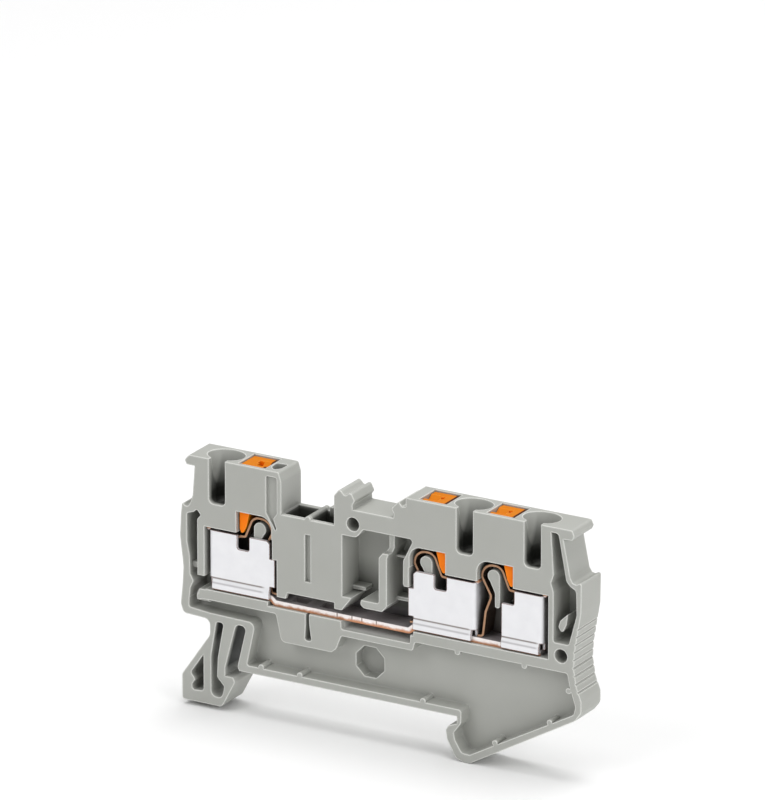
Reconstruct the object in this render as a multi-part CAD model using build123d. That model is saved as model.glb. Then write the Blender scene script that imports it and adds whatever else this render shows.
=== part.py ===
from build123d import *
import os
from math import atan2, cos, hypot, pi, sin, tan

# Push-in feed-through terminal block for a 35 mm mounting rail: a thin moulded
# housing, open on one side, that holds one current bar, three clamp cages,
# three leaf springs and three push buttons.
#
# Frame: X runs along the block, Y from the open side to the closed side, and
# Z up. The origin is on the rail seat, above the middle of the rail, in the
# plane of the open side. Sizes are in millimetres.

# Rail that the foot fits
RAIL_WIDTH = 35.0
RAIL_LIP = 1.0
RAIL_PLAY = 0.15

# Housing as a whole
PITCH = 5.2
LEFT_END = -24.3
TOP = 29.0
HOOK_DEPTH = 6.3
LATCH_DEPTH = 5.6
BACK_WALL = 0.8
WEB_FRONT = 2.2
WEB = 1.0
SEAT_RIM = 1.0

# Levels inside the housing, above the rail seat
FLOOR_TOP = 10.0
FLOOR = 0.85
POCKET_TOP = 19.4
CHAMBER_TOP = 22.4
SHAFT_TOP = 23.2
MARKER_FLOOR = 25.85

# Wire entries: one on the left, two on the right
ENTRY_LEFT = -18.75
ENTRY_MIDDLE = 18.75
ENTRY_SPACING = 10.12
ENTRY_RIGHT = ENTRY_MIDDLE + ENTRY_SPACING
BELLY_REACH = 7.33
RIGHT_END = ENTRY_RIGHT + BELLY_REACH
FUNNEL_WIDE = 5.3
FUNNEL_DEEP = 4.3
FUNNEL_FRONT = 0.4
BORE_HEIGHT = 2.05
ENTRY_BORE = 1.5
WIRE_BORE = 1.1
SLOT_WIDE = 2.5
SLOT_BOTTOM = 22.75

# Push buttons
BUTTON_WIDE = 3.9
BUTTON_FRONT = 0.62
BUTTON_DEEP = 3.96
BUTTON_SINK = 0.25
BUTTON_PLAY = 0.1
BUTTON_TRAVEL = 1.5
BUTTON_LOW = CHAMBER_TOP + BUTTON_TRAVEL + 0.15
BUTTON_EDGE = 3.1
TONGUE_WIDE = 1.45
TONGUE_DEEP = 2.6
TONGUE_TIP = 19.3

# Clamp cages, folded from sheet
SHEET = 0.4
CAGE_FRONT = 0.3
CAGE_DEEP = 3.6
CAGE_TOP = 18.95
CAGE_OUT = 1.45
CAGE_IN = 7.85
CAGE_FOOT_IN = 8.6
CAGE_STEP = 16.5
CAGE_BEND = 0.35
APRON_OUT = 0.9
APRON_DROP = 0.55
BEAD = 0.3
POCKET_IN = 8.4
NOTCH_WIDE = 1.9
NOTCH_DEEP = 2.0

# Leaf springs
LEAF = 0.3
LEAF_WIDE = 2.6
LOOP_IN = 7.95
POST_IN = 6.15
POST_RADIUS = 0.9
POST_HEAD = 20.25
POST_TAIL = 4.3

# Current bar
BAR_THICK = 0.8
BAR_DEEP = 3.4
BAR_RISE = 0.6
BAR_FRONT = 0.5

# Bridge shafts
SHAFT_LEFT = -8.95
SHAFT_RIGHT = -0.9
SHAFT_WALL = 0.6
DIVIDER = 0.8

# Finger grip on the right flank
GRIP_LOW = 6.75
GRIP_PITCH = 1.09
GRIP_COUNT = 9

# Round holes for the pins of an end cover
PIN_HOLE = 0.95
PIN_DEPTH = 3.6


def outline(corners, y=0.0):
    """A closed face in the plane of one y; a corner is (x, z) or (x, z, radius)."""
    knots = [(c[0], c[1], c[2] if len(c) > 2 else 0.0) for c in corners]
    spans = []
    for i, (x, z, r) in enumerate(knots):
        px, pz, _ = knots[i - 1]
        nx, nz, _ = knots[(i + 1) % len(knots)]
        a = hypot(px - x, pz - z)
        b = hypot(nx - x, nz - z)
        ua = ((px - x) / a, (pz - z) / a)
        ub = ((nx - x) / b, (nz - z) / b)
        turn = abs(atan2(ua[0] * ub[1] - ua[1] * ub[0], ua[0] * ub[0] + ua[1] * ub[1]))
        if r <= 0 or turn > pi - 0.02:
            spans.append(((x, z), None, (x, z)))
            continue
        back = min(r / tan(turn / 2), 0.48 * a, 0.48 * b)
        r = back * tan(turn / 2)
        start = (x + ua[0] * back, z + ua[1] * back)
        end = (x + ub[0] * back, z + ub[1] * back)
        mx, mz = ua[0] + ub[0], ua[1] + ub[1]
        m = hypot(mx, mz)
        reach = r / sin(turn / 2) - r
        spans.append((start, (x + mx / m * reach, z + mz / m * reach), end))
    edges = []
    for i, (start, middle, end) in enumerate(spans):
        last = spans[i - 1][2]
        if hypot(last[0] - start[0], last[1] - start[1]) > 1e-6:
            edges.append(Edge.make_line((last[0], y, last[1]), (start[0], y, start[1])))
        if middle:
            edges.append(Edge.make_three_point_arc((start[0], y, start[1]), (middle[0], y, middle[1]),
                                                   (end[0], y, end[1])))
    return Face(Wire(edges))


def prism(corners, y0, y1):
    """The outline, as a solid between two depths."""
    return extrude(outline(corners, y0), amount=y1 - y0, dir=(0, 1, 0))


def block(x0, x1, y0, y1, z0, z1):
    """A plain box between six limits."""
    low = Vector(min(x0, x1), min(y0, y1), min(z0, z1))
    size = Vector(abs(x1 - x0), abs(y1 - y0), abs(z1 - z0))
    return Pos(*low) * Box(size.X, size.Y, size.Z, align=(Align.MIN, Align.MIN, Align.MIN))


def rod(x, z, radius, y0, y1):
    """A round bar along Y."""
    return Pos(x, y0, z) * Rot(-90, 0, 0) * Cylinder(radius, y1 - y0, align=(Align.CENTER, Align.CENTER, Align.MIN))


def band(points, thickness):
    """The corners of a strip of even thickness along a bent centre line."""
    half = thickness / 2
    left, right = [], []
    for i, point in enumerate(points):
        x, z = point[0], point[1]
        r = point[2] if len(point) > 2 else 0.0
        ways = []
        if i > 0:
            ways.append((x - points[i - 1][0], z - points[i - 1][1]))
        if i < len(points) - 1:
            ways.append((points[i + 1][0] - x, points[i + 1][1] - z))
        units = [(w[0] / hypot(*w), w[1] / hypot(*w)) for w in ways]
        first, last = units[0], units[-1]
        nx, nz = -(first[1] + last[1]) / 2, (first[0] + last[0]) / 2
        square = nx * nx + nz * nz
        sx, sz = nx / square * half, nz / square * half
        cross = first[0] * last[1] - first[1] * last[0]
        inner, outer = max(r - half, 0.02), r + half
        radii = (0.0, 0.0) if r == 0 else ((inner, outer) if cross > 0 else (outer, inner))
        left.append((x + sx, z + sz, radii[0]))
        right.append((x - sx, z - sz, radii[1]))
    return left + right[::-1]


def turned(section):
    """An outline drawn as (y, z), as a face across the block."""
    return Rot(0, 0, 90) * outline(section)


def level(section):
    """An outline drawn as (x, y), as a flat face."""
    return Rot(-90, 0, 0) * outline(section)


def clamps():
    """Each clamping point: its name, the middle of its wire entry, and the way its outer side faces."""
    return [("left", ENTRY_LEFT, -1), ("middle", ENTRY_MIDDLE, 1), ("right", ENTRY_RIGHT, 1)]


def mirrored(corners, entry, side):
    """Corners given outwards from a wire entry, turned into block positions."""
    return [(entry + side * c[0],) + tuple(c[1:]) for c in corners]


def right_flank():
    """The hollowed stretch of the right end where the fingers rest, from the belly up."""
    right = RIGHT_END
    return [(right, 5.6, 0.8), (right - 0.7, 7.4, 1.0), (right - 1.15, FLOOR_TOP, 2.5),
            (right - 1.0, FLOOR_TOP + 2.4, 2.5), (right - 0.1, POCKET_TOP - 1.5, 3.0)]


def housing_outline():
    """The whole silhouette: nose, clip groove, latch, rail seat, fixed hook, belly, and top."""
    jaw = RAIL_WIDTH / 2 + RAIL_PLAY
    lip = -RAIL_LIP - RAIL_PLAY
    left, right = LEFT_END, RIGHT_END
    nose = [(left + 1.3, TOP, 0.35), (left + 0.6, TOP - 0.8, 0.35), (left + 0.95, TOP - 1.38, 0.25),
            (left + 2.15, TOP - 1.4), (left + 1.85, SHAFT_TOP + 0.4, 0.5)]
    groove = [(left + 1.5, CHAMBER_TOP, 0.3), (left + 1.1, CHAMBER_TOP - 0.6, 0.2),
              (left + 0.6, CHAMBER_TOP - 0.65, 0.2), (left + 0.2, CHAMBER_TOP - 0.2, 0.3)]
    flank = [(left, CHAMBER_TOP - 1.9, 1.5), (left - 0.15, POCKET_TOP - 2.0, 4.0),
             (left + 0.35, FLOOR_TOP + 3.2, 4.0), (left + 0.2, FLOOR_TOP + 0.8, 3.0),
             (left - 0.1, FLOOR_TOP - 2.1, 1.0), (left + 0.3, FLOOR_TOP - 3.35, 0.7)]
    latch = [(left + 4.35, FLOOR_TOP - 3.55, 0.9), (left + 4.4, 4.3, 1.5), (left + 0.05, -2.0, 0.7),
             (left + 0.05, -LATCH_DEPTH, 0.4), (-jaw - 0.5, -LATCH_DEPTH, 0.6), (-jaw + 1.5, lip - 0.65, 0.4),
             (-jaw + 1.2, lip, 0.2), (-jaw, lip), (-jaw, 0.1, 0.3)]
    spring_slot = [(-jaw + 1.7, 6.45, 0.75), (-jaw + 3.35, 6.45, 0.75), (-jaw + 1.95, 0.6, 0.2), (-jaw + 2.2, 0.0)]
    hook = [(jaw, 0.0), (jaw, lip + 0.1), (jaw - 0.35, lip), (jaw - 1.3, lip - 0.4, 0.25),
            (jaw - 1.65, lip - 1.0, 0.3), (jaw - 1.5, lip - 2.2, 1.0), (jaw - 0.2, -HOOK_DEPTH + 0.5, 1.2),
            (jaw + 1.1, -HOOK_DEPTH, 1.0), (jaw + 2.0, -HOOK_DEPTH + 0.1, 1.0)]
    belly = [(right - 0.9, 2.75, 0.9), (right, 4.0, 0.9)] + right_flank()
    belly.append((right - 0.05, CHAMBER_TOP - 0.35, 0.4))
    shoulder = [(right - 0.85, CHAMBER_TOP - 0.75, 0.2), (right - 1.35, CHAMBER_TOP - 0.65, 0.3),
                (right - 1.75, CHAMBER_TOP, 0.3), (right - 2.8, TOP - 1.4), (right - 1.45, TOP - 1.35, 0.25),
                (right - 1.15, TOP - 0.75, 0.3), (right - 1.5, TOP, 0.3)]
    step = 9.95
    marker = [(step, TOP), (step - 0.05, TOP - 1.25), (step - 0.6, TOP - 1.35),
              (step - 1.15, TOP - 0.75), (step - 2.2, TOP - 1.9), (step - 1.8, MARKER_FLOOR + 0.65),
              (step - 1.9, MARKER_FLOOR)]
    ridge = SHAFT_RIGHT
    ridges = [(ridge + 2.8, MARKER_FLOOR), (ridge + 2.75, MARKER_FLOOR + 0.65),
              (ridge + 3.1, TOP - 1.9, 0.2), (ridge + 2.6, TOP - 0.95, 0.2), (ridge + 2.2, TOP - 1.0),
              (ridge + 1.65, TOP - 1.5, 0.4), (ridge + 1.1, TOP - 0.9), (ridge + 0.75, TOP - 0.7, 0.25),
              (ridge, TOP - 1.6, 0.3), (ridge, SHAFT_TOP)]
    channel = [(SHAFT_LEFT, SHAFT_TOP), (SHAFT_LEFT, TOP - 1.3, 1.0), (SHAFT_LEFT - 0.4, TOP, 0.3)]
    return (nose + groove + flank + latch + spring_slot + hook + belly + shoulder + marker + ridges + channel)


def web_outline():
    """The shallow field around the thin web, between the rail seat, the belly and the floor of the cages."""
    jaw = RAIL_WIDTH / 2 + RAIL_PLAY
    under = FLOOR_TOP - FLOOR
    left, right = LEFT_END, RIGHT_END
    foot = [(-jaw + 3.35, SEAT_RIM, 0.3), (jaw + 0.65, SEAT_RIM, 0.5), (jaw + 0.6, -0.9, 0.6),
            (jaw - 0.5, -2.4, 0.3), (jaw - 0.3, -3.4, 0.8), (jaw + 0.7, -HOOK_DEPTH + 1.3, 0.6),
            (jaw + 1.9, -HOOK_DEPTH + 1.25, 0.5)]
    side = [(right - 1.15, 3.55, 0.5), (right - 0.85, 4.7, 0.8), (right - 1.7, 7.3, 0.6), (right - 2.1, under, 0.3)]
    pad = [(11.3, under, 0.3), (10.95, under - 1.25, 0.3), (0.15, under - 1.25, 0.3), (-0.65, 5.9, 0.3),
           (-1.35, 5.35, 0.4), (-8.95, 5.35, 0.8), (-9.8, under, 0.4)]
    tail = [(left + 3.3, under, 0.2), (left + 2.9, under - 0.15), (left + 1.2, under - 0.15),
            (left + 1.15, under - 1.5, 0.3), (left + 4.3, under - 1.8, 1.0), (-12.95, under - 1.95, 0.9)]
    return foot + side + pad + tail


def keel(entry, side, y0):
    """The post that a leaf spring loops around: a round head with a straight tail."""
    head = POST_HEAD
    slim = -POST_IN + POST_RADIUS - 0.7
    tail = [(-POST_IN - POST_RADIUS, head, 0.5), (slim, head - 2.3, 0.3), (slim, head - POST_TAIL, 0.3),
            (-POST_IN + POST_RADIUS, head - POST_TAIL, 0.3), (-POST_IN + POST_RADIUS, head)]
    y1 = PITCH - BACK_WALL
    shape = prism(mirrored(tail, entry, side), y0, y1)
    return shape + rod(entry - side * POST_IN, head, POST_RADIUS, y0, y1)


def bead(entry, side, play):
    """The rolled edge at the top of a cage's outer side, or with some play the space for it."""
    y = CAGE_FRONT + 0.2
    return rod(entry + side * (CAGE_OUT + 0.15), CAGE_TOP + 0.2, BEAD + play, y - play, y + 2.0 + play)


def clamp_pocket(entry, side, far):
    """The space for a cage and, above it, for the loop of its spring."""
    y1 = PITCH - BACK_WALL
    floor = FLOOR_TOP + BAR_RISE
    low = [(-CAGE_FOOT_IN - 0.5, floor), (-CAGE_FOOT_IN - 0.5, CAGE_STEP + 0.15),
           (-POCKET_IN, CAGE_STEP + 0.15), (-POCKET_IN, POCKET_TOP), (far, POCKET_TOP), (far, floor)]
    inner = -LOOP_IN - LEAF / 2 - 0.2
    high = [(inner, POCKET_TOP - 0.5), (inner, CHAMBER_TOP, 2.0), (-BUTTON_EDGE + 0.2, CHAMBER_TOP),
            (-BUTTON_EDGE + 0.2, POCKET_TOP - 0.5)]
    cut = prism(mirrored(low, entry, side), -1, y1) + prism(mirrored(high, entry, side), -1, y1)
    return cut + bead(entry, side, 0.1)


def wire_funnel(entry):
    """The wire entry: an oval mouth that narrows to a bore, slotted through to the open side."""
    middle = FUNNEL_FRONT + FUNNEL_DEEP / 2
    mouth = Plane((entry, middle, TOP)) * Ellipse(FUNNEL_WIDE / 2, FUNNEL_DEEP / 2)
    throat = Plane((entry, middle, SLOT_BOTTOM + BORE_HEIGHT)) * Circle(ENTRY_BORE)
    lead = loft([mouth.face(), throat.face()], ruled=True)
    standing = (Align.CENTER, Align.CENTER, Align.MIN)
    bore = Pos(entry, middle, SLOT_BOTTOM) * Cylinder(ENTRY_BORE, BORE_HEIGHT, align=standing)
    seat = Pos(entry, middle, SLOT_BOTTOM - 0.6) * Cone(WIRE_BORE, ENTRY_BORE, 0.6, align=standing)
    drop = Pos(entry, middle, POCKET_TOP - 0.1) * Cylinder(WIRE_BORE, SLOT_BOTTOM - POCKET_TOP, align=standing)
    half = SLOT_WIDE / 2
    slot = prism([(entry - half, TOP + 1), (entry - half, SLOT_BOTTOM, 0.7), (entry + half, SLOT_BOTTOM, 0.7),
                  (entry + half, TOP + 1)], -1, middle)
    return lead + bore + seat + drop + slot


def button_limits(entry, side):
    """The body of a button, as its low and high X."""
    near = entry - side * BUTTON_EDGE
    far = near - side * BUTTON_WIDE
    return min(near, far), max(near, far)


def button_shaft(entry, side):
    """The square well in which a button slides."""
    x0, x1 = button_limits(entry, side)
    return block(x0 - BUTTON_PLAY, x1 + BUTTON_PLAY, BUTTON_FRONT - BUTTON_PLAY,
                 BUTTON_FRONT + BUTTON_DEEP + BUTTON_PLAY, BUTTON_LOW - BUTTON_TRAVEL - 0.35, TOP + 1)


def left_gap():
    """The hollow behind the springy left wall, down to the slit beside the floor."""
    left = LEFT_END
    return [(left + 0.9, CHAMBER_TOP - 1.6, 0.3), (left + 2.0, CHAMBER_TOP - 1.25, 0.2),
            (left + 2.4, CHAMBER_TOP - 0.75, 0.3), (left + 3.05, CHAMBER_TOP - 1.5, 0.2),
            (left + 2.5, CHAMBER_TOP - 2.2, 0.2), (left + 2.5, FLOOR_TOP + 2.4), (left + 3.7, FLOOR_TOP + 2.4),
            (left + 3.7, FLOOR_TOP + 0.5), (left + 2.8, FLOOR_TOP + 0.5), (left + 2.4, FLOOR_TOP - FLOOR - 0.2),
            (left + 1.25, FLOOR_TOP - FLOOR - 0.2), (left + 1.35, FLOOR_TOP + 0.3, 0.3),
            (left + 1.85, FLOOR_TOP + 1.4, 0.3), (left + 1.35, FLOOR_TOP + 2.3, 0.2),
            (left + 1.3, FLOOR_TOP + 4.8, 1.0), (left + 0.9, POCKET_TOP - 2.6, 1.0)]


def floor_end():
    """The thick rounded end of the floor, beside the slit in the left hollow."""
    lying = Pos(LEFT_END + 2.4, 0.8, FLOOR_TOP - 0.55) * Rot(0, 90, 0)
    return lying * Cylinder(0.8, 1.7, align=(Align.CENTER, Align.CENTER, Align.MIN))


def right_gap():
    """The hollow behind the sloping right shoulder and the belly wall."""
    right = RIGHT_END
    return [(right - 4.6, TOP - 0.75), (right - 3.5, TOP - 0.75, 0.5), (right - 2.3, CHAMBER_TOP - 0.5, 0.5),
            (right - 1.75, CHAMBER_TOP - 1.1, 0.5), (right - 0.85, CHAMBER_TOP - 1.6, 0.6),
            (right - 0.75, POCKET_TOP - 2.0, 1.0), (right - 1.9, FLOOR_TOP + 3.1, 0.4),
            (right - 4.2, FLOOR_TOP + 3.1, 0.3), (right - 4.2, CHAMBER_TOP - 2.4, 0.2),
            (right - 4.6, CHAMBER_TOP - 1.2, 0.2), (right - 4.2, CHAMBER_TOP, 0.2)]


def spike():
    """The small pointed post that stands free in the right hollow."""
    x = RIGHT_END - 3.1
    return prism([(x, FLOOR_TOP + 4.4, 0.25), (x + 0.6, FLOOR_TOP + 5.6, 0.2), (x + 0.85, FLOOR_TOP + 7.2),
                  (x - 0.3, FLOOR_TOP + 6.1, 0.3), (x - 0.55, FLOOR_TOP + 5.2, 0.3)], 0.4, PITCH - BACK_WALL)


def middle_chambers():
    """The two open chambers right of the bridge shafts, with the angled rib between them."""
    y1 = PITCH - BACK_WALL
    roof = SHAFT_TOP + 0.2
    low = FLOOR_TOP + 3.5
    first = prism([(0.3, low), (5.85, low, 0.3), (5.85, 19.9, 0.3), (6.9, 21.2, 0.3), (6.9, roof), (3.5, roof, 0.2),
                   (2.5, roof - 1.3, 0.9), (0.3, roof - 1.3)], -1, y1)
    second = prism([(7.05, low - 0.2, 0.2), (9.75, low - 0.2), (9.75, 16.5), (9.5, 17.0), (9.55, 20.2, 0.5),
                    (10.95, roof - 0.35, 0.4), (10.6, roof, 0.2), (7.65, roof), (7.65, 21.3, 0.3), (7.05, 20.0, 0.3)],
                   -1, y1)
    upper_rib = block(6.0, 8.2, -1, 1.0, 20.6, roof)
    under = prism([(0.05, FLOOR_TOP + 1.3), (1.95, low + 0.3), (3.2, low + 0.3, 0.2), (3.05, 12.9, 0.35),
                   (3.6, 12.45, 0.3), (6.35, 12.45, 0.4), (7.15, low - 0.1, 0.2), (10.1, low - 0.1),
                   (10.1, 12.7), (10.6, 12.4), (10.6, FLOOR_TOP - 1.15, 0.3), (10.0, FLOOR_TOP - 1.15, 0.3),
                   (0.15, FLOOR_TOP - 1.15, 0.3)], -1, y1)
    ledge = block(0.2, 2.4, 2.6, y1, low + 0.3, low + 0.8) + block(7.0, 9.8, 2.6, y1, low, low + 0.5)
    shelf = block(7.0, 9.6, 2.6, y1, POCKET_TOP + 0.1, POCKET_TOP + 0.4)
    return (first + second + upper_rib + under) - ledge - shelf


def bridge_shafts():
    """Two wells over the current bar for the pins of a plug-in bridge."""
    y0, y1 = SHAFT_WALL, PITCH - BACK_WALL
    middle = (SHAFT_LEFT + SHAFT_RIGHT) / 2
    low = FLOOR_TOP + 0.5
    wells = block(SHAFT_LEFT + 0.15, middle - DIVIDER / 2, y0, y1, low, SHAFT_TOP + 1)
    wells += block(middle + DIVIDER / 2, SHAFT_RIGHT - 0.05, y0, y1, low, SHAFT_TOP + 1)
    window = prism([(SHAFT_LEFT + 0.2, FLOOR_TOP), (SHAFT_LEFT + 0.9, FLOOR_TOP + 2.4), (SHAFT_RIGHT, FLOOR_TOP + 2.4),
                    (SHAFT_RIGHT, FLOOR_TOP)], -1, y1)
    groove = block(middle - 0.42, middle + 0.42, -1, 0.5, FLOOR_TOP + 4.5, FLOOR_TOP + 11.1)
    return wells + window + groove


def bar_trough():
    """The passage along which the current bar lies."""
    y1 = PITCH - BACK_WALL
    left = ENTRY_LEFT + CAGE_FOOT_IN - 0.9
    right = ENTRY_MIDDLE - CAGE_FOOT_IN + 0.9
    low = block(left, right, -1, y1, FLOOR_TOP, FLOOR_TOP + BAR_THICK + 0.15)
    seat = FLOOR_TOP + BAR_RISE
    high = block(ENTRY_LEFT - CAGE_OUT, ENTRY_RIGHT + CAGE_OUT, -1, y1, seat, seat + BAR_THICK + 0.15)
    return low + high


def octagon(radius):
    """The corners of the round-looking recess in the web."""
    x, z = 3.3, 4.15
    return [(x + radius * cos(pi / 8 + k * pi / 4), z + radius * sin(pi / 8 + k * pi / 4)) for k in range(8)]


def web_ribs():
    """Short half-round ribs on the rim of the web field."""
    low = SEAT_RIM + 0.15
    high = FLOOR_TOP - FLOOR - 0.15
    spots = [(-12.1, low), (-6.2, low), (12.5, low), (17.7, high), (27.7, high), (RIGHT_END - 1.9, 6.75),
             (23.35, -2.65), (31.5, 1.8)]
    return Part() + [rod(x, z, 0.4, 0, WEB_FRONT) for x, z in spots]


def latch_openings():
    """The long slot with a round end that lets the latch flex, and the hollow in its foot."""
    jaw = RAIL_WIDTH / 2 + RAIL_PLAY
    slot = prism([(-jaw - 1.3, 6.3, 0.4), (-jaw - 2.15, 1.3, 2.0), (-jaw - 2.15, -4.35, 0.8), (-jaw - 0.5, -4.4, 0.8),
                  (-jaw - 0.1, -2.65, 0.6), (-jaw - 1.2, -1.5, 0.4), (-jaw - 1.1, 1.2, 2.0), (-jaw - 0.15, 6.3, 0.4)],
                 -1, PITCH + 1)
    hollow = prism([(-jaw - 3.3, 1.3), (-jaw - 3.3, -3.9, 0.5), (-jaw - 5.05, -4.0, 0.4),
                    (-jaw - 5.1, -3.2, 0.3), (-jaw - 4.6, -2.5, 0.3), (-jaw - 5.3, -1.6, 0.4)], -1, 3.4)
    return slot + hollow


def grip_ribs():
    """Fine grooves across the right flank, which leave ribs for the fingers."""
    corners = right_flank()
    grooves = []
    for k in range(GRIP_COUNT):
        z = GRIP_LOW + k * GRIP_PITCH
        low, high = next(pair for pair in zip(corners, corners[1:]) if pair[0][1] <= z <= pair[1][1])
        x = low[0] + (high[0] - low[0]) * (z - low[1]) / (high[1] - low[1])
        grooves.append(Pos(x, PITCH / 2, z) * Rot(0, 45, 0) * Box(0.24, PITCH + 1, 0.24))
    return Part() + grooves


def housing():
    """The one moulding that carries everything, with its rail foot and spring latch."""
    y1 = PITCH - BACK_WALL
    body = prism(housing_outline(), 0, PITCH)
    body -= latch_openings()
    field = prism(web_outline(), -1, WEB_FRONT) - web_ribs()
    body -= field
    body -= prism(web_outline(), WEB_FRONT + WEB, PITCH + 1)
    body += prism(octagon(2.8), WEB_FRONT, PITCH - 0.5)
    body -= prism(octagon(2.3), -1, PITCH - 1.3)
    middle = (SHAFT_LEFT + SHAFT_RIGHT) / 2
    body -= prism([(middle - 0.35, FLOOR_TOP + 1), (middle - 0.35, 8.4, 0.3), (middle - 0.5, 6.25, 0.35),
                   (middle + 0.55, 6.25, 0.35), (middle + 0.2, 8.8, 0.5), (middle + 0.2, FLOOR_TOP + 1)], -1, y1)
    body -= prism(left_gap(), -1, y1)
    body -= prism(right_gap(), -1, y1) - spike()
    for (_, entry, side), far in zip(clamps(), (2.0, 2.4, 2.38)):
        body -= clamp_pocket(entry, side, far)
    for _, entry, side in clamps():
        body += keel(entry, side, 0.7)
    body -= middle_chambers()
    body -= bridge_shafts()
    body -= bar_trough()
    for _, entry, side in clamps():
        body -= wire_funnel(entry)
        body -= button_shaft(entry, side)
    for x, z in [(1.95, SHAFT_TOP + 0.65), (RIGHT_END - 3.05, FLOOR_TOP + 1.4)]:
        body -= rod(x, z, PIN_HOLE, -1, PIN_DEPTH)
    body -= test_hole()
    body -= grip_ribs()
    body += floor_end()
    body += rod(middle, SHAFT_TOP, DIVIDER / 2 + 0.05, 0, PITCH)
    body += block(middle + 1.0, middle + 1.6, y1 - 0.3, PITCH, CHAMBER_TOP, SHAFT_TOP + 0.7)
    return body


def test_hole():
    """The hole for a test probe, and the thin place in front of it."""
    x = SHAFT_LEFT - 1.65
    points = [(x - 0.85, 3.2), (x + 0.9, 3.3), (x + 0.8, 1.6), (x + 0.1, 0.75), (x - 0.7, 1.6)]
    face = Plane((0, 0, TOP - 5)) * make_face(FilletPolyline(*points, radius=0.35, close=True))
    hole = extrude(face, amount=6, dir=(0, 0, 1))
    thin = prism([(x - 0.65, TOP - 0.8, 0.3), (x - 0.65, CHAMBER_TOP + 0.6, 0.2), (x + 0.75, CHAMBER_TOP - 1.6),
                  (x + 0.9, CHAMBER_TOP - 1.3), (x + 0.45, CHAMBER_TOP, 0.2), (x + 1.0, SHAFT_TOP, 0.2),
                  (x + 1.0, TOP - 0.8, 0.3)], -1, 0.5)
    return hole + thin


def button(entry, side):
    """A push button: a body with a driver groove, and a tongue that bears on the spring."""
    x0, x1 = button_limits(entry, side)
    top = TOP - BUTTON_SINK
    low = BUTTON_LOW
    body = block(x0, x1, BUTTON_FRONT, BUTTON_FRONT + BUTTON_DEEP, low, top)
    near = -BUTTON_EDGE
    far = near - TONGUE_WIDE
    tongue = [(near, low + 0.5), (near, TONGUE_TIP + 0.5, 0.3), (near - 0.25, TONGUE_TIP, 0.2),
              (near - 0.55, TONGUE_TIP + 0.05, 0.25), (far + 0.45, TONGUE_TIP + 0.9), (far, CHAMBER_TOP - 0.4),
              (far, low + 0.5)]
    body += prism(mirrored(tongue, entry, side), BUTTON_FRONT, BUTTON_FRONT + TONGUE_DEEP)
    y = BUTTON_FRONT + BUTTON_DEEP / 2
    middle = (x0 + x1) / 2
    inner = entry - side * (BUTTON_EDGE + BUTTON_WIDE + 0.5)
    groove = [(y - 0.95, top + 0.01), (y + 0.95, top + 0.01), (y, top - 0.6)]
    body -= extrude(Pos(min(inner, middle), 0, 0) * turned(groove), amount=abs(middle - inner), dir=(1, 0, 0))
    return body - block(middle - 0.35, middle + 0.35, y - 0.1, y + 0.8, top - 1.2, top)


def cage(name, entry, side):
    """A clamp cage, folded from one sheet: front plate with an apron over the bar, outer side and back plate."""
    y0, y1 = CAGE_FRONT, CAGE_FRONT + CAGE_DEEP
    half = SHEET / 2
    seat = FLOOR_TOP + BAR_RISE + BAR_THICK
    fold = seat + 0.95
    short = name == "right"
    notch_out = BUTTON_EDGE - 0.25
    notch_in = notch_out + NOTCH_WIDE
    start = -notch_in if short else -CAGE_IN
    wrap = [(start, y0 + half), (CAGE_OUT - half, y0 + half, CAGE_BEND), (CAGE_OUT - half, y1 - half, CAGE_BEND),
            (-notch_in, y1 - half)]
    plan = Pos(0, 0, seat) * level(mirrored(band(wrap, SHEET), entry, side))
    sheet = extrude(plan, amount=CAGE_TOP - seat, dir=(0, 0, 1))
    sheet -= block(entry - side * 20, entry + side * 3, -1, y0 + SHEET + 0.2, seat - 1, fold)
    apron = [(y0 + half, fold + 0.3), (y0 + half, fold, 0.3), (BAR_FRONT - half - 0.02, seat + 0.3, 0.3),
             (BAR_FRONT - half - 0.02, seat - APRON_DROP)]
    ends = sorted((entry + side * start, entry + side * APRON_OUT))
    sheet += extrude(Pos(ends[0], 0, 0) * turned(band(apron, SHEET)), amount=ends[1] - ends[0], dir=(1, 0, 0))
    low = CAGE_TOP - NOTCH_DEEP
    notch = [(-notch_out, CAGE_TOP + 1), (-notch_out, low, 0.35), (-notch_in, low, 0.0 if short else 0.35),
             (-notch_in - (0.5 if short else 0.0), CAGE_TOP + 1)]
    sheet -= prism(mirrored(notch, entry, side), -1, y0 + 1.2)
    if not short:
        corner = [(-CAGE_IN - 1, CAGE_TOP - 0.4), (-CAGE_IN, CAGE_TOP - 0.4), (-CAGE_IN + 0.4, CAGE_TOP),
                  (-CAGE_IN + 0.4, CAGE_TOP + 1), (-CAGE_IN - 1, CAGE_TOP + 1)]
        sheet -= prism(mirrored(corner, entry, side), -1, y0 + SHEET + 0.01)
        tab = entry - side * CAGE_FOOT_IN
        sheet += block(entry - side * (CAGE_IN - 0.1), tab, y0, y0 + SHEET, seat + 1.2, CAGE_STEP)
    under_post = POST_HEAD - POST_TAIL - 0.3
    sheet += block(entry - side * notch_in, entry - side * CAGE_IN, y1 - SHEET, y1, seat, under_post)
    return sheet + bead(entry, side, 0)


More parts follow.
